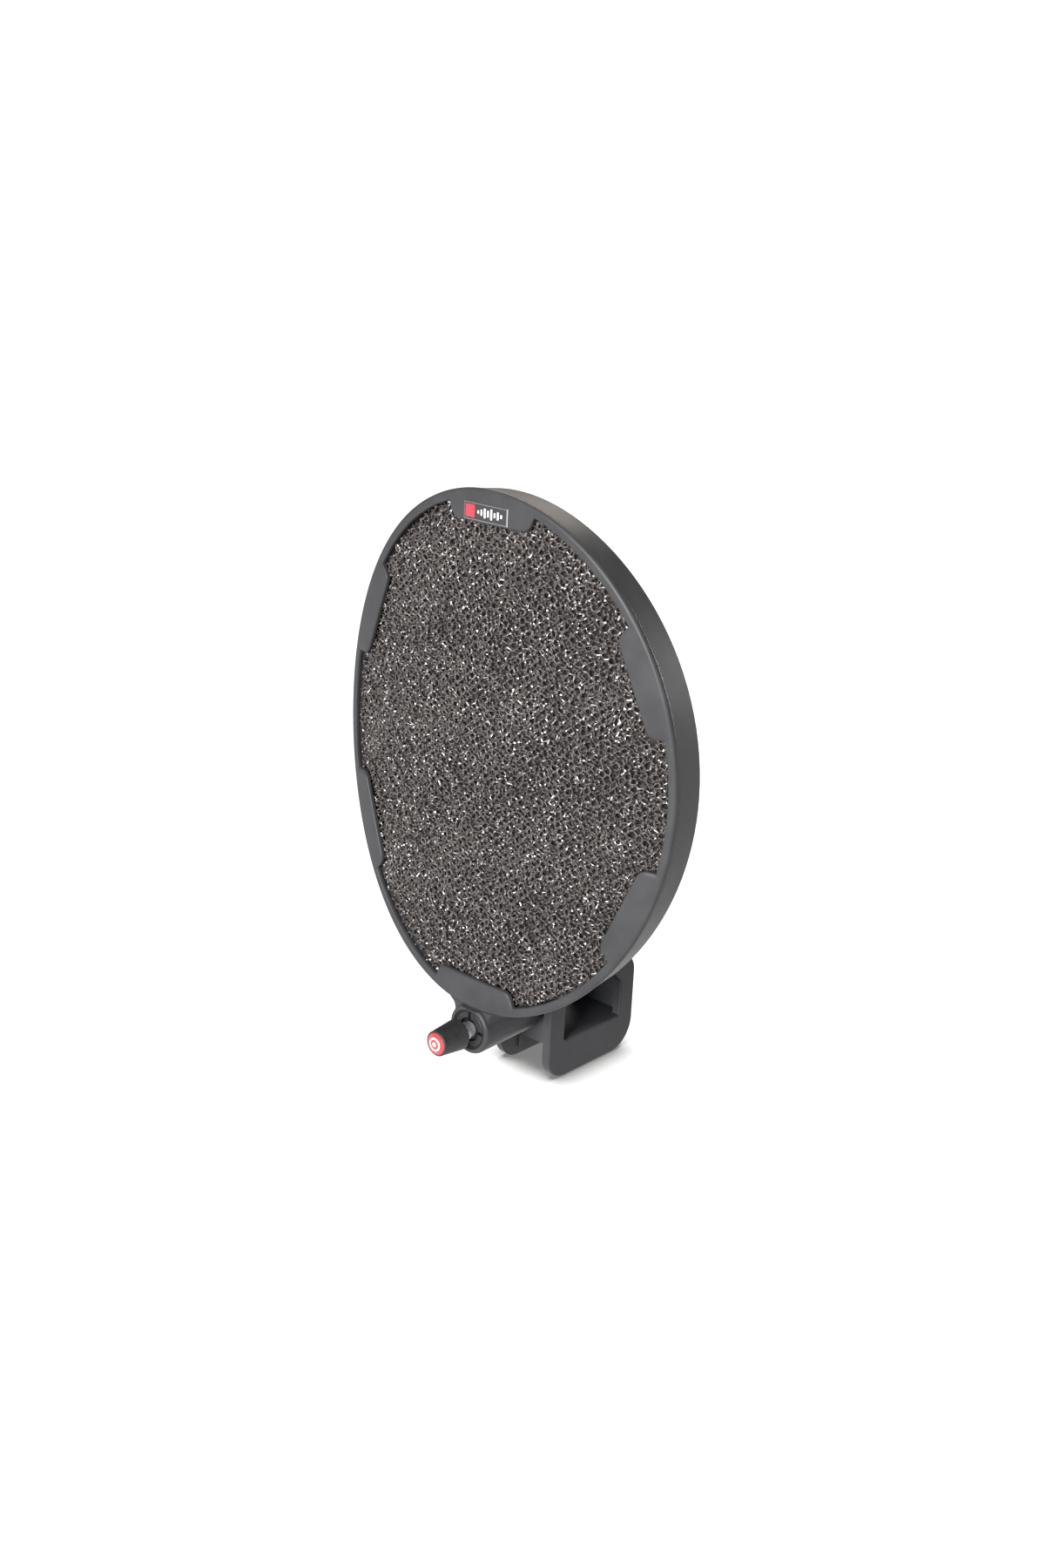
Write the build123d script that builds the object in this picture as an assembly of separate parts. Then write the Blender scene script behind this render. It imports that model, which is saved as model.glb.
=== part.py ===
from build123d import *
import math
import os

# Oval foam pop filter: a swivelling head on an expanding collet, carried by a channel clip.
# Millimetres. +Z is up and the foam faces -Y. The origin is the middle of the clip's bar seat,
# the flat underside of the clip's floor.

# --- Head: an oval ring, bowed about an upright line so that its middle stands furthest forward
HEAD_Y = -56.2          # front-most line of the bezel
HEAD_Z = 119.0          # ring centre above the bar seat
RING_HALF_X = 77.5
RING_HALF_Z = 95.0
RING_DEPTH = 13.6       # front to back on the middle line
FRONT_BOW = 270.0       # radius of the bowed front face
REAR_BOW = 222.0        # radius of the bowed back face
SIDE_DRAFT = 0.137      # the outer wall narrows by this per millimetre of depth
TOP_DRAFT = 0.118
RIM_X = 3.1             # width of the rim around the foam, at the sides
RIM_Z = 3.5             # and at the top and bottom
WALL = 1.6
FACE_THICK = 1.7
EDGE_ROUND = 0.9
SKIRT_DEPTH = 2.3       # outer edge of the bezel, in front of the seam
SEAM = 0.15
TONGUE_WALL = 1.0       # the bezel's tongue stands inside the rear frame's wall
TONGUE_DEPTH = 5.0
GAP = 0.1               # between pieces that are fixed together

# --- Tabs that keep the foam in, each square to the ring where its normal has this angle
TAB_FACINGS = (90.0, 22.5, -22.5, -90.0, -157.5, 157.5)
TAB_HALF = 19.3         # half length where the tab leaves the rim
TAB_TIP_HALF = 17.2
TAB_REACH = 5.3         # from the rim's chord to the tip
TAB_CORNER = 4.0

# --- Barrel under the ring, and the sleeve in it
AXIS_Z = 15.8           # swivel axis above the bar seat
BARREL_FRONT = HEAD_Y - 1.0
BARREL_REAR = -27.2
BARREL_FRONT_R = 9.5
BARREL_REAR_R = 8.8
BORE_R = 7.7
LIP_ROUND = 1.2
WEB_ROUND = 4.0         # hollow corner between barrel and ring
FIT = 0.05              # radial clearance of a running fit
LINER_WALL = 0.8
LINER_INSET = 0.5

# --- Spigot with a split collet at its front
COLLET_FRONT = HEAD_Y - 0.6
SPIGOT_R = BORE_R - LINER_WALL - 2 * FIT
COLLET_BORE_R = 4.5
CONE_DEPTH = 6.0
CONE_END_R = 3.5
SLOT_WIDTH = 1.3
SLOT_LENGTH = 15.0
SLOT_COUNT = 4
FLANGE_HALF = 8.4
FLANGE_THICK = 3.0

# --- Thumb screw, M5, with its nut, cone washer and knob
SCREW_R = 2.5
SCREW_PASS_R = 3.0
COLLAR_R = 3.3
COLLAR_REAR = HEAD_Y - 2.2
NUT_FLATS = 8.0
NUT_THICK = 4.0
RETAINER_R = 6.0
RETAINER_THICK = 1.2
WASHER_FRONT = HEAD_Y + 0.1
WASHER_THICK = 4.0
KNOB_BASE = HEAD_Y - 5.9
KNOB_NOSE = HEAD_Y - 17.7
KNOB_BASE_R = 5.9
KNOB_NOSE_R = 4.75
KNOB_CORE_R = 3.6
KNOB_BASE_ROUND = 0.8
KNOB_NOSE_ROUND = 0.5
CAP_R = 4.0
CAP_SEAT = 1.6
CAP_CROWN = 0.8
EMBLEM_RISE = 0.15

# --- Clip: two side plates, a floor, and walls between the plates
CLIP_HALF_X = 14.0
PLATE_THICK = 3.5
CHANNEL_HALF_X = CLIP_HALF_X - PLATE_THICK
SEAT_HALF_Y = 21.8
WING = 5.4              # the plates reach forward past the front wall
LEG_DEPTH = 12.0
CLIP_TOP = 28.0
FLOOR_THICK = 2.0
END_WALL = 3.0
WINDOW_FRONT = -18.7
WINDOW_REAR = 13.6
WINDOW_LOW = 3.0
WINDOW_HIGH = 21.0
WINDOW_BEVEL = 3.5
FRONT_FOOT_ROUND = 9.5
REAR_FOOT_ROUND = 12.0
SHOULDER_ROUND = 8.0
PLATE_ROUND = 0.9
PAD_THICK = 1.2
PAD_LENGTH = 26.0
PAD_HEIGHT = 7.4

# --- Badge on the top tab
BADGE_X = -1.0
BADGE_Z = HEAD_Z + 86.9
BADGE_WIDTH = 20.0
BADGE_HEIGHT = 6.2
BADGE_SUNK = 0.9
BADGE_PROUD = 0.5
BADGE_BORDER = 0.5
BADGE_MARK = 4.2
BAR_HEIGHTS = (1.0, 2.0, 3.2, 2.2, 3.6, 1.6, 2.6, 1.2)
BAR_WIDTH = 0.8
BAR_PITCH = 1.5
MARK_RISE = 0.12

AHEAD = -4.0            # the oval blocks start in front of the ring
BEHIND = 34.0           # and end behind it


def facing_front(y, x=0.0, z=0.0):
    """Plane square to Y that looks forward, with its own axes along +X and +Z."""
    return Plane(origin=(x, y, z), x_dir=(1, 0, 0), z_dir=(0, -1, 0))


def rod(radius, front, rear):
    """Round bar along the swivel axis."""
    return extrude(facing_front(front, 0, AXIS_Z) * Circle(radius), amount=front - rear)


def tapered_rod(front_radius, rear_radius, front, rear):
    """Round bar along the swivel axis with a different radius at each end."""
    return loft([
        facing_front(front, 0, AXIS_Z) * Circle(front_radius),
        facing_front(rear, 0, AXIS_Z) * Circle(rear_radius),
    ])


def circles_at(solid, y):
    """The round edges of a bar that lie in one plane square to Y."""
    return solid.edges().filter_by(GeomType.CIRCLE).filter_by_position(Axis.Y, y - 0.01, y + 0.01)


def box_between(low, high):
    """Box from its lowest to its highest corner."""
    size = [b - a for a, b in zip(low, high)]
    middle = [(a + b) / 2 for a, b in zip(low, high)]
    return Pos(*middle) * Box(*size)


# --- Head ---------------------------------------------------------------------------------------

def oval_block(inset):
    """Solid of the ring's outer wall, set in by a distance, with the wall's draft."""
    side_edge_depth = FRONT_BOW - math.sqrt(FRONT_BOW ** 2 - RING_HALF_X ** 2)
    sections = []
    for depth in (AHEAD, BEHIND):
        half_x = RING_HALF_X + SIDE_DRAFT * (side_edge_depth - depth) - inset
        half_z = RING_HALF_Z - TOP_DRAFT * depth - inset
        sections.append(facing_front(HEAD_Y + depth, 0, HEAD_Z) * Ellipse(half_x, half_z))
    return loft(sections, ruled=True)


def straight_block(half_x, half_z):
    """Oval prism through the whole ring, used to open its middle."""
    outline = facing_front(HEAD_Y + AHEAD, 0, HEAD_Z) * Ellipse(half_x, half_z)
    return extrude(outline, amount=AHEAD - BEHIND)


def drum(radius, depth):
    """Upright drum that fills everything behind a bowed surface at a depth in the ring."""
    middle = Pos(0, HEAD_Y + depth + radius, HEAD_Z)
    return middle * Cylinder(radius, 2 * RING_HALF_Z + 20)


def behind_front(depth):
    return drum(FRONT_BOW - depth, depth)


def behind_rear(depth):
    return drum(REAR_BOW + depth, RING_DEPTH - depth)


def tab_outlines(half_x, half_z):
    """Six rounded tabs that reach in from an oval edge, as one flat sketch."""
    outlines = Sketch()
    for facing in TAB_FACINGS:
        along = math.cos(math.radians(facing))
        up = math.sin(math.radians(facing))
        spread = math.hypot(half_x * along, half_z * up)
        edge_x = half_x ** 2 * along / spread
        edge_z = half_z ** 2 * up / spread
        curve_radius = (half_x * half_z) ** 2 / spread ** 3
        chord = -TAB_HALF ** 2 / (2 * curve_radius)
        tab = Polygon(
            (-TAB_HALF, 2), (-TAB_HALF, chord), (-TAB_TIP_HALF, chord - TAB_REACH),
            (TAB_TIP_HALF, chord - TAB_REACH), (TAB_HALF, chord), (TAB_HALF, 2),
            align=None,
        )
        tab = fillet(tab.vertices().group_by(Axis.Y)[0], TAB_CORNER)
        outlines += Pos(edge_x, edge_z) * Rot(0, 0, facing - 90) * tab
    return outlines


def tab_block(half_x, half_z):
    outlines = facing_front(HEAD_Y + AHEAD, 0, HEAD_Z) * tab_outlines(half_x, half_z)
    return extrude(outlines, amount=AHEAD - BEHIND)


def make_bezel():
    """Front half of the ring: rim, six tabs, outer edge and the tongue inside the rear frame."""
    half_x = RING_HALF_X - RIM_X
    half_z = RING_HALF_Z - RIM_Z
    seam = behind_front(SKIRT_DEPTH)
    bezel = (oval_block(0) & behind_front(0)) - seam
    front_face = bezel.faces().filter_by(GeomType.CYLINDER).sort_by(Axis.Y)[0]
    bezel = fillet(front_face.outer_wire().edges(), EDGE_ROUND)
    inner = oval_block(WALL + GAP + TONGUE_WALL)
    bezel -= inner & behind_front(FACE_THICK)
    bezel -= straight_block(half_x, half_z) - tab_block(half_x, half_z)
    bezel += (oval_block(WALL + GAP) - inner) & (seam - behind_front(TONGUE_DEPTH))
    return bezel - badge_box(GAP, BADGE_SUNK + GAP, BADGE_PROUD + 1)


def make_rear_frame():
    """Rear half of the ring, with the back rim, its tabs and the barrel under the ring."""
    half_x = RING_HALF_X - RIM_X - SIDE_DRAFT * RING_DEPTH
    half_z = RING_HALF_Z - RIM_Z - TOP_DRAFT * RING_DEPTH
    inside = oval_block(WALL)
    front_cut = behind_front(SKIRT_DEPTH + SEAM)
    ring = (oval_block(0) & front_cut) - behind_rear(0)
    ring -= inside - behind_rear(WALL)
    ring -= straight_block(half_x, half_z) - tab_block(half_x, half_z)
    barrel = tapered_rod(BARREL_FRONT_R, BARREL_REAR_R, BARREL_FRONT, BARREL_REAR)
    barrel = fillet(circles_at(barrel, BARREL_FRONT), LIP_ROUND)
    barrel = fillet(circles_at(barrel, BARREL_REAR), LIP_ROUND / 2)
    bezel_space = oval_block(-GAP) - front_cut
    arm = (barrel + make_web()) - inside - bezel_space
    return (ring + arm) - rod(BORE_R, BARREL_FRONT - 5, BARREL_REAR + 5)


def make_web():
    """Hollow-cornered block that joins the barrel to the underside of the ring."""
    ring_radius = RING_HALF_X ** 2 / RING_HALF_Z
    ring_z = HEAD_Z - RING_HALF_Z + ring_radius
    barrel_reach = BARREL_FRONT_R + WEB_ROUND
    ring_reach = ring_radius + WEB_ROUND
    rise = ring_z - AXIS_Z
    corner_z = (rise ** 2 + barrel_reach ** 2 - ring_reach ** 2) / (2 * rise)
    corner_x = math.sqrt(barrel_reach ** 2 - corner_z ** 2)
    foot_x = corner_x * BARREL_FRONT_R / barrel_reach
    foot_z = corner_z * BARREL_FRONT_R / barrel_reach
    head_x = corner_x * ring_radius / ring_reach
    head_z = corner_z + (rise - corner_z) * WEB_ROUND / ring_reach
    web = Polygon(
        (-foot_x, foot_z), (foot_x, foot_z), (head_x, head_z), (-head_x, head_z), align=None
    )
    web += Pos(0, head_z + 1) * Rectangle(2 * head_x, 2)
    for side in (-1, 1):
        web -= Pos(side * corner_x, corner_z) * Circle(WEB_ROUND)
    front = HEAD_Y + 0.6
    rear = HEAD_Y + RING_DEPTH
    return extrude(facing_front(front, 0, AXIS_Z) * web, amount=front - rear)


def make_foam():
    """Foam disc between the front and rear tabs."""
    disc = oval_block(WALL + GAP + TONGUE_WALL + GAP)
    return (disc & behind_front(FACE_THICK + GAP)) - behind_rear(WALL + GAP)


# --- Badge --------------------------------------------------------------------------------------

def badge_box(grow, sunk, proud, inset=0.0):
    half_x = BADGE_WIDTH / 2 + grow - inset
    half_z = BADGE_HEIGHT / 2 + grow - inset
    return box_between(
        (BADGE_X - half_x, HEAD_Y - proud, BADGE_Z - half_z),
        (BADGE_X + half_x, HEAD_Y + sunk, BADGE_Z + half_z),
    )


def make_badge_border():
    border = badge_box(0, BADGE_SUNK, BADGE_PROUD)
    border = chamfer(border.edges().group_by(Axis.Y)[0], BADGE_BORDER / 2)
    return border - badge_box(0, BADGE_SUNK + 1, BADGE_PROUD + 1, BADGE_BORDER)


def make_badge_plate():
    return badge_box(0, BADGE_SUNK, BADGE_PROUD - MARK_RISE, BADGE_BORDER + GAP / 2)


def badge_mark(x, width, height):
    """Thin raised mark on the badge plate, centred at x."""
    face_y = HEAD_Y - BADGE_PROUD + MARK_RISE
    return box_between(
        (x - width / 2, face_y - MARK_RISE, BADGE_Z - height / 2),
        (x + width / 2, face_y, BADGE_Z + height / 2),
    )


def make_badge_square():
    return badge_mark(BADGE_X - BADGE_WIDTH / 2 + BADGE_BORDER + 0.4 + BADGE_MARK / 2, BADGE_MARK, BADGE_MARK)


def make_badge_bars():
    """Row of upright bars, like a level meter."""
    start = BADGE_X - BADGE_WIDTH / 2 + BADGE_BORDER + BADGE_MARK + 2.0
    bars = [badge_mark(start + i * BAR_PITCH, BAR_WIDTH, high) for i, high in enumerate(BAR_HEIGHTS)]
    return Compound(children=bars)


# --- Lock ---------------------------------------------------------------------------------------

def make_liner():
    """Plain sleeve between the barrel and the spigot."""
    front = BARREL_FRONT + LINER_INSET
    rear = BARREL_REAR - LINER_INSET
    return rod(BORE_R - FIT, front, rear) - rod(SPIGOT_R + FIT, front - 1, rear + 1)


def nut_block(flats, front, rear):
    outline = RegularPolygon(flats / 2, 6, major_radius=False)
    return extrude(facing_front(front, 0, AXIS_Z) * outline, amount=front - rear)


def retainer_rear():
    return -SEAT_HALF_Y + END_WALL + FLANGE_THICK


def nut_rear():
    return retainer_rear() - RETAINER_THICK - GAP


def make_spigot():
    """Tube through the clip's front wall: flange at the back, split collet at the front."""
    wall_inner = -SEAT_HALF_Y + END_WALL
    flange_rear = wall_inner + FLANGE_THICK
    spigot = rod(SPIGOT_R, COLLET_FRONT, flange_rear)
    spigot = fillet(circles_at(spigot, COLLET_FRONT), 0.4)
    flange = box_between(
        (-FLANGE_HALF, wall_inner, AXIS_Z - FLANGE_HALF),
        (FLANGE_HALF, flange_rear, AXIS_Z + FLANGE_HALF),
    )
    spigot += fillet(flange.edges().filter_by(Axis.Y), 2.0)
    spigot -= rod(SCREW_PASS_R, COLLET_FRONT - 1, flange_rear + 1)
    cone_rear = COLLET_FRONT + CONE_DEPTH
    spigot -= tapered_rod(COLLET_BORE_R, CONE_END_R, COLLET_FRONT, cone_rear)
    spigot -= rod(CONE_END_R, cone_rear, COLLET_FRONT + SLOT_LENGTH)
    for i in range(SLOT_COUNT // 2):
        slot = box_between(
            (-SLOT_WIDTH / 2, COLLET_FRONT - 1, -SPIGOT_R - 1),
            (SLOT_WIDTH / 2, COLLET_FRONT + SLOT_LENGTH, SPIGOT_R + 1),
        )
        spigot -= Pos(0, 0, AXIS_Z) * Rot(0, i * 90, 0) * slot
    spigot -= nut_block(NUT_FLATS + GAP, nut_rear() - NUT_THICK - GAP, nut_rear() + GAP)
    return spigot - rod(RETAINER_R + GAP, nut_rear(), flange_rear + 1)


def make_nut():
    nut = nut_block(NUT_FLATS, nut_rear() - NUT_THICK, nut_rear())
    return nut - rod(SCREW_R + FIT, nut_rear() - NUT_THICK - 1, nut_rear() + 1)


def make_nut_retainer():
    front = retainer_rear() - RETAINER_THICK
    disc = rod(RETAINER_R, front, retainer_rear())
    return disc - rod(SCREW_PASS_R, front - 1, retainer_rear() + 1)


def make_washer():
    """Cone that the screw's collar drives into the collet."""
    clearance = 0.3
    slope = (COLLET_BORE_R - CONE_END_R) / CONE_DEPTH
    front_r = COLLET_BORE_R - slope * (WASHER_FRONT - COLLET_FRONT) - clearance
    rear_r = front_r - slope * WASHER_THICK
    rear = WASHER_FRONT + WASHER_THICK
    cone = tapered_rod(front_r, rear_r, WASHER_FRONT, rear)
    return cone - rod(SCREW_R + FIT, WASHER_FRONT - 1, rear + 1)


def make_screw():
    """Chrome collar and shank. The collar's small step bears on the cone washer."""
    shank = rod(SCREW_R, KNOB_NOSE + 4.0, retainer_rear() + 0.5)
    shank = chamfer(circles_at(shank, retainer_rear() + 0.5), 0.5)
    collar = rod(COLLAR_R, KNOB_BASE - 1.0, COLLAR_REAR)
    collar = fillet(circles_at(collar, COLLAR_REAR), 0.4)
    neck = rod(SCREW_R + 0.35, COLLAR_REAR - 0.5, WASHER_FRONT - GAP)
    return shank + collar + neck


def make_knob_core():
    """Hard insert of the knob, with the screw moulded into it."""
    rear = KNOB_BASE + 0.3
    core = rod(KNOB_CORE_R, KNOB_NOSE + CAP_SEAT, KNOB_BASE - 1.0 - GAP)
    core += rod(KNOB_CORE_R + 0.6, KNOB_BASE - 4.0, rear - 1.0)
    core -= rod(COLLAR_R + GAP, KNOB_BASE - 1.0 - GAP, rear)
    return core - rod(SCREW_R + GAP / 2, KNOB_NOSE + 4.0 - GAP, rear)


def make_knob_grip():
    """Rubber sleeve, tapered towards the nose."""
    grip = tapered_rod(KNOB_NOSE_R, KNOB_BASE_R, KNOB_NOSE, KNOB_BASE)
    grip = fillet(circles_at(grip, KNOB_BASE), KNOB_BASE_ROUND)
    grip = fillet(circles_at(grip, KNOB_NOSE), KNOB_NOSE_ROUND)
    grip -= rod(CAP_R + GAP / 2, KNOB_NOSE - 1, KNOB_NOSE + CAP_SEAT)
    grip -= rod(KNOB_CORE_R + GAP / 2, KNOB_NOSE, KNOB_BASE)
    grip -= rod(KNOB_CORE_R + 0.6 + GAP / 2, KNOB_BASE - 4.0 - GAP / 2, KNOB_BASE + 1)
    return grip


def make_knob_cap():
    """Shallow domed cap in the nose of the knob."""
    rear = KNOB_NOSE + CAP_SEAT - GAP
    disc = rod(CAP_R, KNOB_NOSE - CAP_CROWN, rear)
    dome_radius = (CAP_R ** 2 + CAP_CROWN ** 2) / (2 * CAP_CROWN)
    dome = Pos(0, KNOB_NOSE - CAP_CROWN + dome_radius, AXIS_Z) * Sphere(dome_radius)
    return disc & dome


def make_cap_emblem():
    """Plain raised ring with a dot, following the cap's dome."""
    dome_radius = (CAP_R ** 2 + CAP_CROWN ** 2) / (2 * CAP_CROWN)
    middle = Pos(0, KNOB_NOSE - CAP_CROWN + dome_radius, AXIS_Z)
    skin = middle * Sphere(dome_radius + EMBLEM_RISE) - middle * Sphere(dome_radius)
    ring = rod(2.6, KNOB_NOSE - 2, KNOB_NOSE) - rod(1.9, KNOB_NOSE - 3, KNOB_NOSE + 1)
    dot = rod(0.9, KNOB_NOSE - 2, KNOB_NOSE)
    return skin & (ring + dot)


# --- Clip ---------------------------------------------------------------------------------------

def side_outline():
    """Outline of a side plate in the YZ plane, with its rounded corners."""
    front = -SEAT_HALF_Y - WING
    outline = Polygon(
        (front, -LEG_DEPTH), (SEAT_HALF_Y, -LEG_DEPTH), (SEAT_HALF_Y, CLIP_TOP), (front, CLIP_TOP),
        align=None,
    )
    for y, z, radius in (
        (front, -LEG_DEPTH, FRONT_FOOT_ROUND),
        (SEAT_HALF_Y, -LEG_DEPTH, REAR_FOOT_ROUND),
        (SEAT_HALF_Y, CLIP_TOP, SHOULDER_ROUND),
        (front, CLIP_TOP, SHOULDER_ROUND),
    ):
        corner = outline.vertices().sort_by_distance((y, z, 0))[0]
        outline = fillet(corner, radius)
    return outline


def window_outline():
    outline = Polygon(
        (WINDOW_FRONT, WINDOW_LOW), (WINDOW_REAR, WINDOW_LOW),
        (WINDOW_REAR, WINDOW_HIGH - WINDOW_BEVEL), (WINDOW_REAR - WINDOW_BEVEL, WINDOW_HIGH),
        (WINDOW_FRONT, WINDOW_HIGH), align=None,
    )
    return fillet(outline.vertices(), 0.6)


def across(outline, half_width):
    """Extrudes a YZ outline to both sides of the middle plane."""
    return extrude(Plane.YZ * outline, amount=half_width, both=True)


def make_clip():
    """Moulded frame: two windowed side plates joined by a floor, a roof and two end walls."""
    plates = across(side_outline(), CLIP_HALF_X) - across(side_outline(), CHANNEL_HALF_X)
    plates -= across(window_outline(), CLIP_HALF_X + 1)
    outer_edges = plates.edges().filter_by_position(Axis.X, CLIP_HALF_X - 0.01, CLIP_HALF_X + 0.01)
    outer_edges += plates.edges().filter_by_position(Axis.X, -CLIP_HALF_X - 0.01, 0.01 - CLIP_HALF_X)
    plates = fillet(outer_edges, PLATE_ROUND)
    core = across(side_outline(), CHANNEL_HALF_X)
    core &= box_between((-20, -SEAT_HALF_Y, 0), (20, SEAT_HALF_Y, CLIP_TOP))
    core -= box_between(
        (-20, -SEAT_HALF_Y + END_WALL, FLOOR_THICK),
        (20, SEAT_HALF_Y - END_WALL, CLIP_TOP - END_WALL),
    )
    clip = plates + core
    return clip - rod(SPIGOT_R + GAP, -SEAT_HALF_Y - 1, -SEAT_HALF_Y + END_WALL + 1)


def make_grip_pad(side):
    """Rubber liner on the inside of one leg."""
    inner = side * (CHANNEL_HALF_X - PAD_THICK)
    outer = side * (CHANNEL_HALF_X - GAP / 2)
    low_x, high_x = sorted((inner, outer))
    top = -2.6
    middle = -4.0
    pad = box_between(
        (low_x, middle - PAD_LENGTH / 2, top - PAD_HEIGHT),
        (high_x, middle + PAD_LENGTH / 2, top),
    )
    return fillet(pad.edges().filter_by(Axis.X), 1.5)


PIECES = {
    "clip_frame": make_clip,
    "split_spigot": make_spigot,
    "captive_nut": make_nut,
    "nut_retainer": make_nut_retainer,
    "grip_pad_left": lambda: make_grip_pad(-1),
    "grip_pad_right": lambda: make_grip_pad(1),
    "barrel_liner": make_liner,
    "bezel": make_bezel,
    "rear_frame": make_rear_frame,
    "foam_disc": make_foam,
    "badge_border": make_badge_border,
    "badge_plate": make_badge_plate,
    "badge_square": make_badge_square,
    "badge_bars": make_badge_bars,
    "cone_washer": make_washer,
    "thumb_screw": make_screw,
    "knob_core": make_knob_core,
    "knob_grip": make_knob_grip,
    "knob_cap": make_knob_cap,
    "cap_emblem": make_cap_emblem,
}

os.makedirs("parts", exist_ok=True)
for name, make in PIECES.items():
    export_step(make(), f"parts/{name}.step")
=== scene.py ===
import bpy
import itertools
import math
import numpy as np
from mathutils import Matrix, Vector


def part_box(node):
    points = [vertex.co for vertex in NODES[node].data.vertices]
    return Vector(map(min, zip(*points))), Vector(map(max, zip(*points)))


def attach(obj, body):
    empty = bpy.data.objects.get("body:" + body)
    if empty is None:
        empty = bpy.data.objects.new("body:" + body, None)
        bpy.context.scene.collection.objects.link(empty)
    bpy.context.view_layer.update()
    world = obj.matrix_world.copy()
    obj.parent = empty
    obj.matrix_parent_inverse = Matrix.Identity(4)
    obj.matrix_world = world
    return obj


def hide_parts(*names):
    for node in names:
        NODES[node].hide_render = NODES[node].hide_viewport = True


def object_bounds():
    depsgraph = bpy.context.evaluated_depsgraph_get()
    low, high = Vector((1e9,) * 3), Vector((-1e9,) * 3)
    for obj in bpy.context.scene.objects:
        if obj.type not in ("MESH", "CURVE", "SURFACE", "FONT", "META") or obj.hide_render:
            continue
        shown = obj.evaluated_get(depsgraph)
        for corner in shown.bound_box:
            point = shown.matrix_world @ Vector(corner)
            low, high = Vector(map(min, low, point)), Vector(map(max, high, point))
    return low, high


# Oval foam pop filter with a swivel barrel, a thumb-screw lock and a channel clip.
# Everything is in metres in the frame of the CAD model: +Z up, the foam faces -Y.

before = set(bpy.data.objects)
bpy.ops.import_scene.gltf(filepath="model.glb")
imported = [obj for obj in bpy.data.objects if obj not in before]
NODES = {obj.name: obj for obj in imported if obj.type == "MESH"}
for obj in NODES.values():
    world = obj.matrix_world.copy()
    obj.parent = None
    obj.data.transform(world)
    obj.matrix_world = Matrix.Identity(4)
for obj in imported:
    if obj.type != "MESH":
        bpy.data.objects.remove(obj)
cad_low, cad_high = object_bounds()
MM = 0.001

# The head's shape, as in the CAD model. Its places come from the nodes' boxes.
BEZEL_LOW, BEZEL_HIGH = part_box("bezel")
FOAM_LOW, FOAM_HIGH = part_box("foam_disc")
HEAD_FRONT = BEZEL_LOW.y
HEAD_MID_Z = (BEZEL_LOW.z + BEZEL_HIGH.z) / 2
RING_DEPTH = 13.6 * MM
FRONT_BOW = 270 * MM
REAR_BOW = 222 * MM
FACE_THICK = 1.7 * MM
GAP = 0.1 * MM
FOAM_HALF_X = (FOAM_HIGH.x - FOAM_LOW.x) / 2
FOAM_HALF_Z = (FOAM_HIGH.z - FOAM_LOW.z) / 2

# Camera, placed round the ring's centre.
VIEW_AZIMUTH = math.radians(41.61)
VIEW_ELEVATION = math.radians(19.31)
VIEW_ROLL = math.radians(2.52)
VIEW_DISTANCE = 653.9 * MM
VIEW_ASIDE = 14.9 * MM
VIEW_BELOW = 7.8 * MM
LENS = 43.2

# Stage. The floor lies below the lowest reach of the head, which can hang down from the clip.
STAGE_SIDES = 96
STAGE_RADIUS = 3.0
WALL_HEIGHT = 3.0
FLOOR_DROP = 0.2
FLOOR_GLOW = 1.2
WALL_GLOW = 1.0
ROOM_GLOW = 0.3
SHADOW_REACH = 18 * MM
SHADOW_DEPTH = 0.85


# --- Materials ----------------------------------------------------------------------------------

class Shader:
    """A Principled material with the few node helpers that the pieces share."""

    def __init__(self, name):
        self.material = bpy.data.materials.new(name)
        self.material.use_nodes = True
        self.nodes = self.material.node_tree.nodes
        self.links = self.material.node_tree.links
        self.surface = self.nodes["Principled BSDF"]
        self.place = self.nodes.new("ShaderNodeTexCoord").outputs["Object"]

    def set(self, **values):
        for socket, value in values.items():
            self.surface.inputs[socket.replace("_", " ")].default_value = value

    def noise(self, size, detail=2.0, rough=0.5):
        """Noise whose blobs are about `size` metres across."""
        node = self.nodes.new("ShaderNodeTexNoise")
        node.inputs["Scale"].default_value = 1 / size
        node.inputs["Detail"].default_value = detail
        node.inputs["Roughness"].default_value = rough
        self.links.new(self.place, node.inputs["Vector"])
        return node.outputs["Fac"]

    def ramp(self, source, stops):
        node = self.nodes.new("ShaderNodeValToRGB")
        elements = node.color_ramp.elements
        while len(elements) < len(stops):
            elements.new(0.5)
        for element, (position, colour) in zip(elements, stops):
            element.position = position
            element.color = (*colour, 1)
        self.links.new(source, node.inputs["Fac"])
        return node.outputs["Color"]

    def spread(self, source, low, high, start=0.3, end=0.7):
        """Maps a number that runs from start to end, as noise does by default, to low and high."""
        node = self.nodes.new("ShaderNodeMapRange")
        node.inputs["From Min"].default_value = start
        node.inputs["From Max"].default_value = end
        node.inputs["To Min"].default_value = low
        node.inputs["To Max"].default_value = high
        self.links.new(source, node.inputs["Value"])
        return node.outputs["Result"]

    def drive(self, socket, source):
        self.links.new(source, self.surface.inputs[socket])

    def bump(self, *layers):
        """Bump from (height, distance) pairs, one on top of the other."""
        normal = None
        for height, distance in layers:
            node = self.nodes.new("ShaderNodeBump")
            node.inputs["Distance"].default_value = distance
            self.links.new(height, node.inputs["Height"])
            if normal is not None:
                self.links.new(normal, node.inputs["Normal"])
            normal = node.outputs["Normal"]
        self.drive("Normal", normal)


def shade(colour, factor):
    return tuple(channel * factor for channel in colour)


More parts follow.
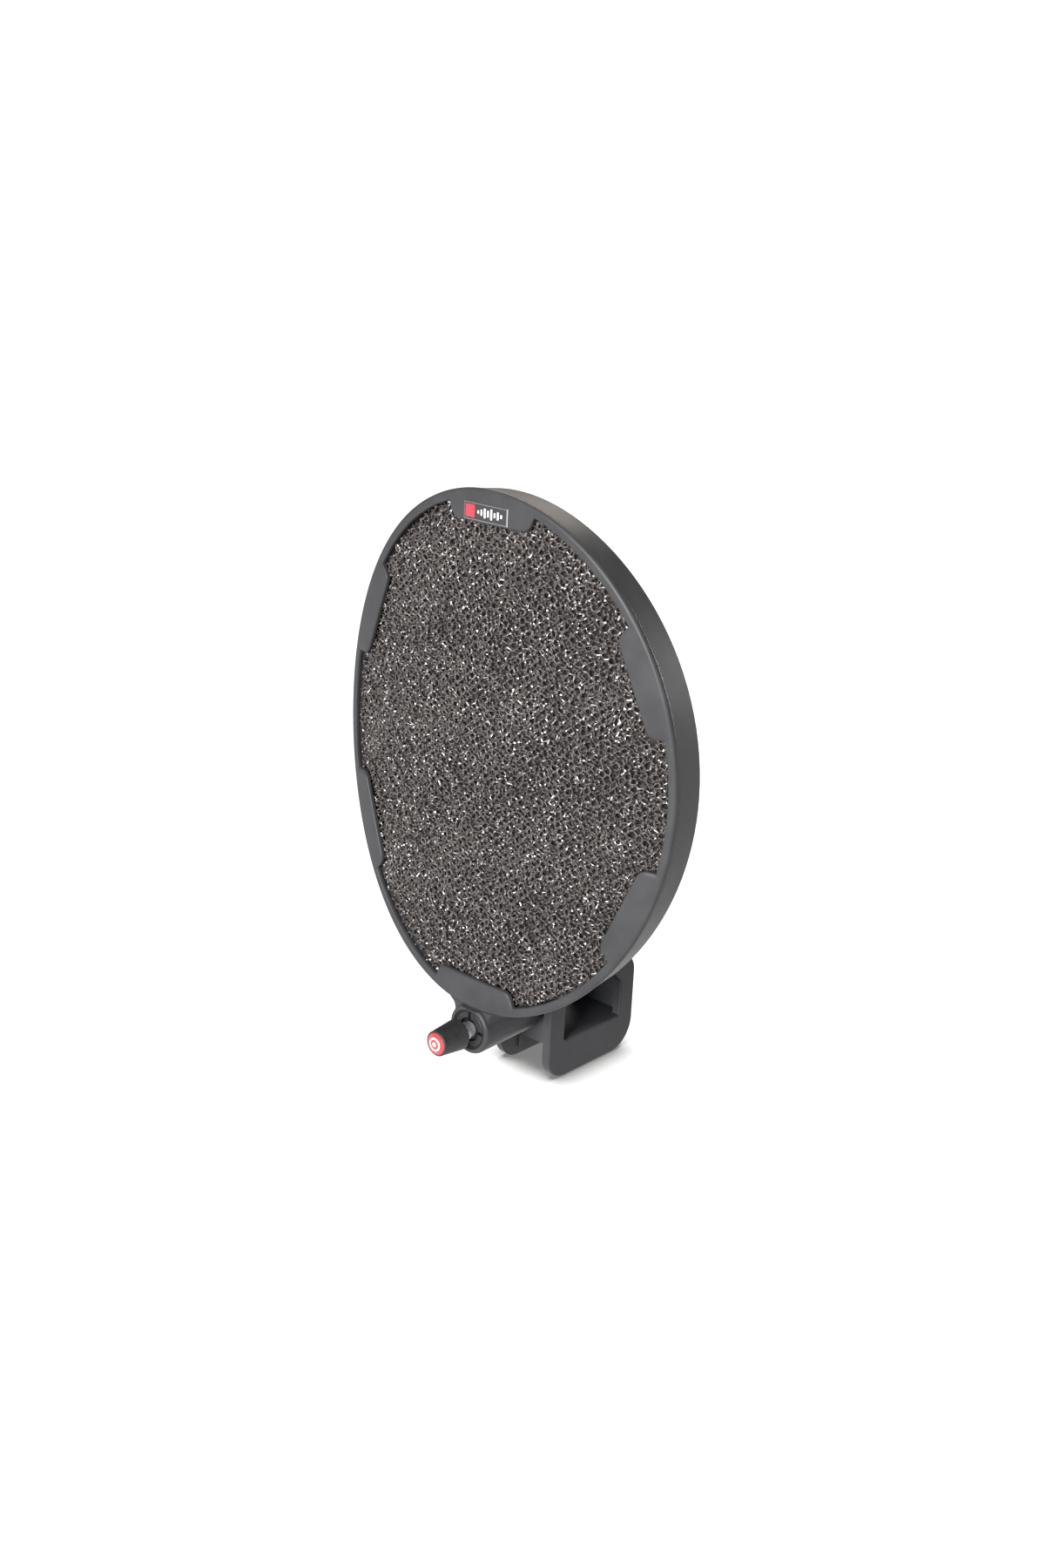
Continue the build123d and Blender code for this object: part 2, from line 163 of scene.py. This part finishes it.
def moulded_plastic(name, colour, roughness, grain=0.18 * MM, relief=0.012 * MM):
    """Plastic from a spark-eroded mould: fine even grain and a slight cloudiness."""
    s = Shader(name)
    cloud = s.noise(9 * MM, 3.0)
    fine = s.noise(grain, 2.0, 0.6)
    s.drive("Base Color", s.ramp(cloud, ((0.35, shade(colour, 0.9)), (0.65, shade(colour, 1.1)))))
    s.drive("Roughness", s.spread(cloud, roughness - 0.03, roughness + 0.03))
    s.set(Specular_IOR_Level=0.15)
    s.bump((fine, relief))
    return s.material


def rubber(name, colour, roughness):
    s = Shader(name)
    cloud = s.noise(3 * MM, 4.0)
    fine = s.noise(0.1 * MM, 3.0, 0.7)
    s.drive("Base Color", s.ramp(cloud, ((0.3, shade(colour, 0.8)), (0.7, shade(colour, 1.25)))))
    s.drive("Roughness", s.spread(cloud, roughness - 0.06, roughness + 0.06))
    s.bump((fine, 0.015 * MM))
    return s.material


def glossy_plastic(name, colour, roughness):
    s = Shader(name)
    cloud = s.noise(1.5 * MM, 2.0)
    s.drive("Base Color", s.ramp(cloud, ((0.3, shade(colour, 0.93)), (0.7, shade(colour, 1.0)))))
    s.drive("Roughness", s.spread(cloud, roughness, roughness + 0.05))
    s.set(Coat_Weight=0.4, Coat_Roughness=0.08)
    return s.material


def metal(name, colour, roughness, scratch=0.05 * MM):
    s = Shader(name)
    cloud = s.noise(1.2 * MM, 3.0)
    fine = s.noise(scratch, 2.0)
    s.set(Metallic=1.0)
    s.drive("Base Color", s.ramp(cloud, ((0.3, shade(colour, 0.92)), (0.7, colour))))
    s.drive("Roughness", s.spread(fine, roughness * 0.7, roughness * 1.3))
    return s.material


def foam_material(name, dark, light, roughness, **sockets):
    """Charcoal polymer, its tone changing from strut to strut and its gloss from patch to patch."""
    s = Shader(name)
    patch = s.noise(11 * MM, 2.0)
    speck = s.noise(0.9 * MM, 1.0)
    s.drive("Base Color", s.ramp(speck, ((0.35, dark), (0.7, light))))
    s.drive("Roughness", s.spread(patch, roughness - 0.06, roughness + 0.06))
    s.set(**sockets)
    return s.material


# --- Foam ---------------------------------------------------------------------------------------

CELL = 3.5 * MM             # side of the cube that holds two of the foam's cells
GRID_SPAN = 4096            # more than the lattice's width, so that a corner's key is its own
FOAM_TURN = (0.41, 0.63, 0.35)
NODE_SHIFT = 0.27 * MM
WARP = 0.45 * MM
WARP_WAVES = 5
STRUT_WAIST = 0.17 * MM
STRUT_ROOT = 0.29 * MM
KNOT_RADIUS = 0.56 * MM
FRONT_LAYER = 3.2 * MM
BACK_LAYER = 2.8 * MM
STRUT_EDGE = 0.995          # the struts' and knots' limits in the outline's equation, where 1 is its edge
KNOT_EDGE = 0.97
MOST_STRUTS = 14000         # per mesh, so that no mesh is too large to export whole
CORE_DEPTH_FRONT = 2.9 * MM
CORE_DEPTH_BACK = 2.5 * MM
CORE_EDGE = 0.995
CORE_RINGS = 28
CORE_SECTORS = 96
CORE_WAVE = 0.25 * MM
CORE_WAVE_X = 1.7 * MM
CORE_WAVE_Z = 1.9 * MM


def front_surface(x):
    """Y of the foam's bowed front face."""
    bow = FRONT_BOW - FACE_THICK - GAP
    return FOAM_LOW.y + bow - np.sqrt(bow ** 2 - x ** 2)


def back_surface(x):
    """Y of the foam's bowed back face."""
    bow = REAR_BOW + FACE_THICK
    return HEAD_FRONT + RING_DEPTH - FACE_THICK + bow - np.sqrt(bow ** 2 - x ** 2)


def lattice_cells(depth, turned):
    """Middles of the cells that can reach into the slab, in quarters of a lattice cube."""
    reach = int(FOAM_HALF_Z / CELL * 1.6) + 3
    side = np.arange(-reach, reach + 1)
    i, j = (a.ravel() for a in np.meshgrid(side, side))
    layers = int(depth / CELL / abs(turned[2, 2])) + 4
    first = np.floor(-(turned[2, 0] * i + turned[2, 1] * j) / turned[2, 2]).astype(int) - 2
    cells = np.concatenate([np.stack((i, j, first + k), 1) for k in range(layers + 2)]) * 4
    cells = np.concatenate((cells, cells + 2))
    middle = cells * (CELL / 4) @ turned.T
    near = (np.abs(middle[:, 0]) < FOAM_HALF_X + CELL) & (np.abs(middle[:, 1]) < FOAM_HALF_Z + CELL)
    near &= (middle[:, 2] > -CELL) & (middle[:, 2] < depth + CELL)
    return cells[near]


def orders(*lengths):
    """Every (0, a, b) with the given lengths, in each order and with each sign, sorted."""
    signed = itertools.product(*((-length, length) for length in lengths))
    return sorted({order for a, b in signed for order in itertools.permutations((0, a, b))})


def cell_edges(cells):
    """The cells' corners, each one once, and the pairs of corners that an edge joins."""
    grid = (cells[:, None, :] + np.array(orders(1, 2))[None]).reshape(-1, 3)
    weights = np.array((GRID_SPAN ** 2, GRID_SPAN, 1))
    keys = np.unique((grid + GRID_SPAN // 2) @ weights)
    points = np.stack((keys // GRID_SPAN ** 2, keys // GRID_SPAN % GRID_SPAN, keys % GRID_SPAN), 1)
    struts = []
    for step in orders(1, 1):
        jump = int(np.array(step) @ weights)
        if jump > 0:
            found = np.searchsorted(keys, keys + jump)
            found[found == len(keys)] = 0
            start = np.nonzero(keys[found] == keys + jump)[0]
            struts.append(np.stack((start, found[start]), 1))
    return points - GRID_SPAN // 2, np.concatenate(struts)


def cell_graph(depth, turn, seed):
    """Corners and struts of a flat foam slab.

    The cells are truncated octahedra, which fill space. The lattice is turned so that no plane of
    it lies along the slab, then warped and shaken, which leaves windows of every shape.
    """
    rng = np.random.default_rng(seed)
    turned = np.array(Matrix.Rotation(turn[0], 3, "X") @ Matrix.Rotation(turn[1], 3, "Y")
                      @ Matrix.Rotation(turn[2], 3, "Z"))
    points, struts = cell_edges(lattice_cells(depth, turned))
    place = points * (CELL / 4) @ turned.T
    for _ in range(WARP_WAVES):
        way, across = rng.normal(size=3), rng.normal(size=3)
        way *= 2 * math.pi / (rng.uniform(3, 6) * CELL) / np.linalg.norm(way)
        across *= WARP / np.linalg.norm(across)
        place = place + np.sin(place @ way + rng.uniform(0, 6.3))[:, None] * across
    place += np.clip(rng.normal(0, NODE_SHIFT, place.shape), -2 * NODE_SHIFT, 2 * NODE_SHIFT)
    return place, struts


def cut_struts(place, struts, depth):
    """Ends of the struts inside the slab. A strut that crosses the cut face ends on it."""
    a, b = place[struts[:, 0]], place[struts[:, 1]]
    swap = a[:, 2] > b[:, 2]
    a[swap], b[swap] = b[swap].copy(), a[swap].copy()
    inside = b[:, 2] > 0
    inside &= a[:, 2] < depth
    for end in (a, b):
        inside &= (end[:, 0] / FOAM_HALF_X) ** 2 + (end[:, 1] / FOAM_HALF_Z) ** 2 < STRUT_EDGE
    a, b = a[inside], b[inside]
    above = a[:, 2] < 0
    share = a[above, 2] / (a[above, 2] - b[above, 2])
    a[above] += (b[above] - a[above]) * share[:, None]
    long_enough = np.linalg.norm(b - a, axis=1) > STRUT_WAIST
    return a[long_enough], b[long_enough]


def flat_mesh(name, verts, faces, copies):
    """Many copies of one small shape: its faces repeat for each run of vertices."""
    per = len(verts) // copies
    base = np.arange(copies)[:, None] * per
    loops = np.concatenate([np.array(face)[None] + base for face in faces], 1).ravel()
    sizes = np.tile([len(face) for face in faces], copies)
    mesh = bpy.data.meshes.new(name)
    mesh.vertices.add(len(verts))
    mesh.vertices.foreach_set("co", verts.astype(np.float32).ravel())
    mesh.loops.add(len(loops))
    mesh.loops.foreach_set("vertex_index", loops.astype(np.int32))
    mesh.polygons.add(len(sizes))
    mesh.polygons.foreach_set("loop_start", (np.cumsum(sizes) - sizes).astype(np.int32))
    mesh.update(calc_edges=True)
    mesh.shade_flat()
    return mesh


def frames_along(along, rng):
    """Two unit vectors square to each direction and to each other, turned at random."""
    along = along / np.linalg.norm(along, axis=1)[:, None]
    aside = np.cross(along, rng.normal(size=along.shape))
    aside /= np.linalg.norm(aside, axis=1)[:, None]
    return along, aside, np.cross(along, aside)


def strut_mesh(name, a, b, seed):
    """Three-sided struts from a to b, thinner at the waist, closed at both ends."""
    rng = np.random.default_rng(seed)
    _, aside, other = frames_along(b - a, rng)
    size = rng.uniform(0.85, 1.2, len(a))
    rings = []
    for share, radius in ((0.0, STRUT_ROOT), (0.5, STRUT_WAIST), (1.0, STRUT_ROOT)):
        for corner in range(3):
            angle = 2 * math.pi * corner / 3
            offset = aside * math.cos(angle) + other * math.sin(angle)
            rings.append(a + (b - a) * share + offset * (radius * size)[:, None])
    faces = [(3 * r + c, 3 * r + (c + 1) % 3, 3 * r + 3 + (c + 1) % 3, 3 * r + 3 + c)
             for r in range(2) for c in range(3)]
    faces += [(2, 1, 0), (6, 7, 8)]
    return flat_mesh(name, np.stack(rings, 1).reshape(-1, 3), faces, len(a))


def knot_mesh(name, places, seed):
    """Eight-sided lumps where the struts meet."""
    rng = np.random.default_rng(seed)
    axes = frames_along(rng.normal(size=places.shape), rng)
    size = KNOT_RADIUS * rng.uniform(0.75, 1.25, (len(places), 3))
    tips = [places + sign * axis * size[:, [k]] for k, axis in enumerate(axes) for sign in (1, -1)]
    faces = [(0, 2, 4), (2, 1, 4), (1, 3, 4), (3, 0, 4), (2, 0, 5), (1, 2, 5), (3, 1, 5), (0, 3, 5)]
    return flat_mesh(name, np.stack(tips, 1).reshape(-1, 3), faces, len(places))


def seat_points(points, from_back):
    """Moves flat slab points (x, height, depth) to the bowed foam."""
    x, height, depth = points.T
    y = back_surface(x) - depth if from_back else front_surface(x) + depth
    return np.stack((x, y, height + HEAD_MID_Z), 1)


def add_piece(name, mesh, body, slot, *replaced):
    piece = bpy.data.objects.new(name, mesh)
    bpy.context.scene.collection.objects.link(piece)
    if replaced:
        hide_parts(*replaced)
    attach(piece, body)
    return piece


def build_foam_layer(name, depth, turn, seed, from_back, material):
    """One face of the foam as open cells, cut into level bands."""
    place, struts = cell_graph(depth, turn, seed)
    if from_back:
        place[:, 0] *= -1
    a, b = cut_struts(place, struts, depth)
    order = np.argsort((a + b)[:, 1])
    for number, band in enumerate(np.array_split(order, math.ceil(len(a) / MOST_STRUTS)), 1):
        ends = seat_points(a[band], from_back), seat_points(b[band], from_back)
        mesh = strut_mesh(f"{name}_{number}", *ends, seed + number)
        mesh.materials.append(material)
        add_piece(mesh.name, mesh, "head", "foam", "foam_disc")
    knots = place[(place[:, 2] > 0) & (place[:, 2] < depth)]
    knots = knots[(knots[:, 0] / FOAM_HALF_X) ** 2 + (knots[:, 1] / FOAM_HALF_Z) ** 2 < KNOT_EDGE]
    mesh = knot_mesh(f"{name}_knots", seat_points(knots, from_back), seed)
    mesh.materials.append(material)
    add_piece(mesh.name, mesh, "head", "foam", "foam_disc")


def core_ring(share, from_back, sectors):
    """Points of the core's front or back at a share of the way from the centre to the edge."""
    angle = np.arange(sectors) * 2 * math.pi / sectors
    x = FOAM_HALF_X * CORE_EDGE * share * np.cos(angle)
    height = FOAM_HALF_Z * CORE_EDGE * share * np.sin(angle)
    depth = CORE_DEPTH_BACK if from_back else CORE_DEPTH_FRONT
    wave = CORE_WAVE * np.sin(x / CORE_WAVE_X) * np.sin(height / CORE_WAVE_Z)
    return seat_points(np.stack((x, height, depth + wave), 1), from_back)


def build_foam_shade_core(material):
    """The foam's middle as one sheet that blocks light as the inner struts do. Its near-black colour is
    painted shade for the foam's shaded depths. It runs from the front's centre out to the edge and in to
    the back's centre.
    """
    shares = [math.sin(0.5 * math.pi * (ring + 1) / CORE_RINGS) for ring in range(CORE_RINGS)]
    rings = [core_ring(share, False, CORE_SECTORS) for share in shares]
    rings += [core_ring(share, True, CORE_SECTORS) for share in reversed(shares)]
    centres = core_ring(0.0, False, 1), core_ring(0.0, True, 1)
    verts = np.concatenate([centres[0], *rings, centres[1]])
    last = len(verts) - 1
    faces = []
    for sector in range(CORE_SECTORS):
        a, b = sector + 1, (sector + 1) % CORE_SECTORS + 1
        faces.append((0, a, b))
        for base in range(0, (len(rings) - 1) * CORE_SECTORS, CORE_SECTORS):
            faces.append((a + base, a + base + CORE_SECTORS, b + base + CORE_SECTORS, b + base))
        inmost = (len(rings) - 1) * CORE_SECTORS
        faces.append((a + inmost, last, b + inmost))
    mesh = bpy.data.meshes.new("foam_shade_core")
    mesh.from_pydata(verts.tolist(), [], faces)
    mesh.polygons.foreach_set("use_smooth", [True] * len(mesh.polygons))
    mesh.materials.append(material)
    core = add_piece("foam_shade_core", mesh, "head", "foam", "foam_disc")


def build_foam():
    charcoal = foam_material("foam_struts", (0.034, 0.03, 0.03), (0.088, 0.076, 0.073), 0.33, IOR=1.65)
    # foam_shadow is painted shade: near-black and without gloss, for the shaded depths of the foam, put
    # on the sheet between the two strut layers
    shadow = foam_material("foam_shadow", (0.01, 0.01, 0.01), (0.022, 0.021, 0.021), 0.9,
                           Specular_IOR_Level=0.0)
    build_foam_layer("foam_front", FRONT_LAYER, FOAM_TURN, 3, False, charcoal)
    build_foam_layer("foam_back", BACK_LAYER, FOAM_TURN[::-1], 11, True, charcoal)
    build_foam_shade_core(shadow)


# --- Bezel --------------------------------------------------------------------------------------

RING_HALF_X = 77.5 * MM
RING_HALF_Z = 95.0 * MM
SIDE_DRAFT = 0.137
TOP_DRAFT = 0.118
OPENING_X = 74.4 * MM
OPENING_Z = 91.5 * MM
SKIRT_DEPTH = 2.3 * MM
TONGUE_DEPTH = 5.0 * MM
TONGUE_OUTER = 1.7 * MM
TONGUE_INNER = 2.7 * MM
TAB_FACINGS = (90.0, 22.5, -22.5, -90.0, -157.5, 157.5)
TAB_HALF = 19.3 * MM
TAB_TIP_HALF = 17.2 * MM
TAB_REACH = 5.3 * MM
TAB_CORNER = 4.0 * MM
TAB_EDGE_ROUND = 0.8 * MM
RIM_EDGE_ROUND = 1.1 * MM
BEZEL_SPOKES = 1800
INMOST_SHARE = 0.85         # how far in along a spoke the tabs' tips are looked for
SPOKE_STEPS = 1200
TAB_WINDOW = 24             # how many spokes to each side can hold the nearest stretch of an edge
RIM_WINDOW = 8


def on_tab(x, z, facing):
    """Which points lie on the tab that faces this way."""
    along, up = math.cos(math.radians(facing)), math.sin(math.radians(facing))
    spread = math.hypot(OPENING_X * along, OPENING_Z * up)
    chord = -TAB_HALF ** 2 * spread ** 3 / (2 * (OPENING_X * OPENING_Z) ** 2)
    out = (x - OPENING_X ** 2 * along / spread) * along + (z - OPENING_Z ** 2 * up / spread) * up
    side = np.abs((x - OPENING_X ** 2 * along / spread) * up - (z - OPENING_Z ** 2 * up / spread) * along)
    tip = chord - TAB_REACH
    slope = (TAB_HALF - TAB_TIP_HALF) / TAB_REACH
    half = np.minimum(TAB_HALF, TAB_TIP_HALF + (out - tip) * slope)
    lean = math.atan(slope)
    from_centre = TAB_CORNER / math.tan((math.pi / 2 + lean) / 2)
    du, dv = side - (TAB_TIP_HALF - from_centre), out - (tip + TAB_CORNER)
    cut_off = (du > 0) & (dv < -du * math.tan(lean)) & (np.hypot(du, dv) > TAB_CORNER)
    return (out > tip) & (side < half) & ~cut_off


def distance_to_line(points, line, window):
    """Distance from each spoke's points to the stretch of a closed line that is near that spoke."""
    nearest = np.full(points.shape[:2], np.inf)
    for shift in range(-window, window):
        start = np.roll(line, shift, 0)[:, None]
        step = np.roll(line, shift - 1, 0)[:, None] - start
        share = ((points - start) * step).sum(-1) / np.maximum((step * step).sum(-1), 1e-16)
        gap = points - start - np.clip(share, 0, 1)[..., None] * step
        nearest = np.minimum(nearest, np.linalg.norm(gap, axis=-1))
    return nearest


def rounding(distance, radius):
    """How far a rounded edge has dropped at a distance from the edge."""
    left = np.clip(radius - distance, 0, radius)
    return radius - np.sqrt(radius ** 2 - left ** 2)


def front_bow(x):
    return FRONT_BOW - np.sqrt(FRONT_BOW ** 2 - x ** 2)


def wall_point(phase, behind, inset):
    """Point of the drafted outer wall, a distance behind the bowed front and set in."""
    x = RING_HALF_X * np.cos(phase)
    for _ in range(3):
        depth = front_bow(x) + behind
        half_x = RING_HALF_X + SIDE_DRAFT * (front_bow(RING_HALF_X) - depth) - inset
        x = half_x * np.cos(phase)
    z = (RING_HALF_Z - TOP_DRAFT * depth - inset) * np.sin(phase)
    return np.stack((x, HEAD_FRONT + depth, z), 1)


def build_bezel(material):
    """The bezel with softly rounded tab and rim edges, as one closed ring of spokes."""
    phase = np.arange(BEZEL_SPOKES) * 2 * math.pi / BEZEL_SPOKES
    edge = wall_point(phase, 0, 0)
    rim = edge[:, [0, 2]]
    share = np.linspace(INMOST_SHARE, 1, SPOKE_STEPS)
    x, z = rim[:, [0]] * share, rim[:, [1]] * share
    solid = (x / OPENING_X) ** 2 + (z / OPENING_Z) ** 2 > 1
    for facing in TAB_FACINGS:
        solid |= on_tab(x, z, facing)
    first = share[np.argmax(solid, 1)]
    inner = rim * first[:, None]
    width = np.linalg.norm(rim - inner, axis=1)
    from_inner = np.array((0, 0.06, 0.18, 0.36, 0.6, 0.9)) * MM
    from_outer = np.array((1.3, 0.9, 0.55, 0.28, 0.1, 0.0)) * MM
    reach = np.concatenate((np.tile(from_inner, (BEZEL_SPOKES, 1)), width[:, None] - from_outer), 1)
    face = inner[:, None] + (rim - inner)[:, None] * (reach / width[:, None])[..., None]
    drop = rounding(distance_to_line(face, inner, TAB_WINDOW), TAB_EDGE_ROUND)
    drop += rounding(distance_to_line(face, rim, RIM_WINDOW), RIM_EDGE_ROUND)
    front = np.stack((face[..., 0], HEAD_FRONT + front_bow(face[..., 0]) + drop, face[..., 1]), -1)
    back = [wall_point(phase, SKIRT_DEPTH, 0), wall_point(phase, SKIRT_DEPTH, TONGUE_OUTER),
            wall_point(phase, TONGUE_DEPTH, TONGUE_OUTER), wall_point(phase, TONGUE_DEPTH, TONGUE_INNER),
            wall_point(phase, FACE_THICK, TONGUE_INNER)]
    under = np.stack((inner[:, 0], HEAD_FRONT + front_bow(inner[:, 0]) + FACE_THICK, inner[:, 1]), 1)
    ring = np.concatenate((front, np.stack(back + [under], 1)), 1)
    per = ring.shape[1]
    verts = ring.reshape(-1, 3) + (0, 0, HEAD_MID_Z)
    spoke = np.repeat(np.arange(BEZEL_SPOKES), per)
    station = np.tile(np.arange(per), BEZEL_SPOKES)
    next_spoke, next_station = (spoke + 1) % BEZEL_SPOKES, (station + 1) % per
    faces = np.stack((spoke * per + station, next_spoke * per + station,
                      next_spoke * per + next_station, spoke * per + next_station), 1)
    mesh = bpy.data.meshes.new("bezel_ring")
    mesh.from_pydata(verts.tolist(), [], faces.tolist())
    mesh.validate()
    mesh.materials.append(material)
    mesh.shade_smooth()
    mesh.set_sharp_from_angle(angle=math.radians(40))
    add_piece("bezel_ring", mesh, "head", "moulding", "bezel")


# --- Stage --------------------------------------------------------------------------------------

def add_area_light(name, place, aim, size, power, colour):
    data = bpy.data.lights.new(name, "AREA")
    data.shape = "RECTANGLE"
    data.size, data.size_y = size
    data.energy = power
    data.color = colour
    lamp = bpy.data.objects.new(name, data)
    lamp.location = place
    lamp.rotation_euler = (Vector(aim) - Vector(place)).to_track_quat("-Z", "Y").to_euler()
    bpy.context.scene.collection.objects.link(lamp)


def add_stage_piece(name, verts, faces, material):
    mesh = bpy.data.meshes.new(name)
    mesh.from_pydata(verts, [], faces)
    mesh.polygons.foreach_set("use_smooth", [True] * len(mesh.polygons))
    mesh.materials.append(material)
    piece = bpy.data.objects.new(name, mesh)
    bpy.context.scene.collection.objects.link(piece)
    piece.visible_diffuse = False
    return piece


def white_paper(name, dark, light, glow):
    """Paper that shows plain white by its own light."""
    s = Shader(name)
    s.drive("Base Color", s.ramp(s.noise(0.4, 1.0), ((0.3, (dark,) * 3), (0.7, (light,) * 3))))
    s.set(Roughness=0.9, Emission_Color=(1, 1, 1, 1), Emission_Strength=glow)
    return s.material


def contact_shadow():
    """Clear film that darkens only where something stands close over it."""
    s = Shader("contact_shadow")
    s.set(Base_Color=(0.004, 0.004, 0.004, 1), Roughness=1.0, Specular_IOR_Level=0.0)
    openness = s.nodes.new("ShaderNodeAmbientOcclusion")
    openness.samples = 16
    openness.inputs["Distance"].default_value = SHADOW_REACH
    s.drive("Alpha", s.spread(openness.outputs["AO"], SHADOW_DEPTH, 0.0, start=0.45, end=0.97))
    return s.material


def build_paper():
    """Round white floor with a white wall round it."""
    turn = [2 * math.pi * k / STAGE_SIDES for k in range(STAGE_SIDES)]
    edge = [(STAGE_RADIUS * math.cos(a), STAGE_RADIUS * math.sin(a)) for a in turn]
    floor_z = cad_low.z - FLOOR_DROP
    add_stage_piece("studio_floor", [(x, y, floor_z) for x, y in edge] + [(0, 0, floor_z)],
                    [(k, (k + 1) % STAGE_SIDES, STAGE_SIDES) for k in range(STAGE_SIDES)],
                    white_paper("studio_floor", 0.08, 0.1, FLOOR_GLOW))
    wall = [(x, y, floor_z + z) for z in (0, WALL_HEIGHT) for x, y in edge]
    sides = []
    for k in range(STAGE_SIDES):
        following = (k + 1) % STAGE_SIDES
        sides.append((k, following, following + STAGE_SIDES, k + STAGE_SIDES))
    backdrop = add_stage_piece("studio_backdrop", wall, sides,
                               white_paper("studio_backdrop", 0.92, 0.95, WALL_GLOW))
    backdrop.visible_glossy = False
    backdrop.visible_shadow = False


def build_contact_shadow():
    """The film lies under the clip's feet and a little way round them."""
    clip_low, clip_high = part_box("clip_frame")
    xs = clip_low.x - SHADOW_REACH, clip_high.x + SHADOW_REACH
    ys = clip_low.y - SHADOW_REACH, clip_high.y + SHADOW_REACH
    corners = [(xs[0], ys[0]), (xs[1], ys[0]), (xs[1], ys[1]), (xs[0], ys[1])]
    film = add_stage_piece("contact_shadow", [(x, y, cad_low.z) for x, y in corners], [(0, 1, 2, 3)],
                           contact_shadow())
    film.visible_glossy = False
    film.visible_shadow = False


def build_light():
    """Soft surroundings and four large lamps aimed at the ring's centre."""
    world = bpy.data.worlds.new("studio")
    bpy.context.scene.world = world
    world.use_nodes = True
    world.node_tree.nodes["Background"].inputs["Color"].default_value = (1, 1, 1, 1)
    world.node_tree.nodes["Background"].inputs["Strength"].default_value = ROOM_GLOW
    head = (0, HEAD_FRONT, HEAD_MID_Z)
    add_area_light("key", (0.32, -1.2, 0.45), head, (0.5, 0.5), 50, (1.0, 0.97, 0.93))
    add_area_light("cool", (0.6, -1.2, 0.4), head, (0.4, 0.4), 9, (0.82, 0.9, 1.0))
    add_area_light("top", (-0.7, 0.85, 1.0), head, (0.9, 0.5), 12, (1.0, 0.91, 0.82))
    add_area_light("back", (0, 1.5, 0.15), head, (0.5, 0.3), 18, (1.0, 0.98, 0.95))


def build_camera():
    look = Vector((-math.sin(VIEW_AZIMUTH) * math.cos(VIEW_ELEVATION),
                   math.cos(VIEW_AZIMUTH) * math.cos(VIEW_ELEVATION), -math.sin(VIEW_ELEVATION)))
    level = Vector((math.cos(VIEW_AZIMUTH), math.sin(VIEW_AZIMUTH), 0))
    upright = level.cross(look)
    right = level * math.cos(VIEW_ROLL) + upright * math.sin(VIEW_ROLL)
    up = upright * math.cos(VIEW_ROLL) - level * math.sin(VIEW_ROLL)
    data = bpy.data.cameras.new("camera")
    data.lens = LENS
    data.clip_start = 0.01
    camera = bpy.data.objects.new("camera", data)
    centre = Vector((0, HEAD_FRONT, HEAD_MID_Z))
    place = centre - look * VIEW_DISTANCE + right * VIEW_ASIDE - up * VIEW_BELOW
    turn = Matrix((right, up, -look)).transposed().to_4x4()
    camera.matrix_world = Matrix.Translation(place) @ turn
    bpy.context.scene.collection.objects.link(camera)
    bpy.context.scene.camera = camera


# --- Assembly -----------------------------------------------------------------------------------

def paint_nodes():
    """Gives each CAD node that is shown its material."""
    satin = moulded_plastic("satin_moulding", (0.029, 0.0295, 0.032), 0.42)
    collet = moulded_plastic("collet_plastic", (0.018, 0.018, 0.02), 0.36)
    finishes = {
        "clip_frame": satin, "bezel": satin, "rear_frame": satin,
        "split_spigot": collet, "nut_retainer": collet, "knob_core": collet,
        "barrel_liner": moulded_plastic("liner_plastic", (0.008, 0.008, 0.009), 0.5),
        "grip_pad_left": rubber("pad_rubber", (0.012, 0.012, 0.013), 0.8),
        "captive_nut": metal("nut_brass", (0.78, 0.6, 0.3), 0.3),
        "cone_washer": metal("washer_steel", (0.02, 0.02, 0.022), 0.45),
        "thumb_screw": metal("screw_chrome", (0.82, 0.83, 0.85), 0.6),
        "knob_grip": rubber("grip_rubber", (0.008, 0.0083, 0.0095), 0.62),
        "knob_cap": glossy_plastic("cap_red", (0.5, 0.024, 0.028), 0.25),
        "cap_emblem": glossy_plastic("cap_white", (0.5, 0.44, 0.44), 0.3),
        "badge_border": metal("badge_trim", (0.3, 0.3, 0.32), 0.4),
        "badge_plate": glossy_plastic("badge_black", (0.012, 0.012, 0.014), 0.2),
        "badge_square": glossy_plastic("badge_red", (0.4, 0.02, 0.035), 0.25),
        "badge_bars": glossy_plastic("badge_white", (0.45, 0.45, 0.46), 0.3),
    }
    finishes["grip_pad_right"] = finishes["grip_pad_left"]
    for name, material in finishes.items():
        for slot in NODES[name].material_slots:
            slot.link = "OBJECT"
            slot.material = material


build_camera()
build_paper()
build_contact_shadow()
build_light()
paint_nodes()
build_bezel(NODES["bezel"].material_slots[0].material)
build_foam()

scene = bpy.context.scene
scene.view_settings.view_transform = "Standard"
scene.view_settings.look = "None"
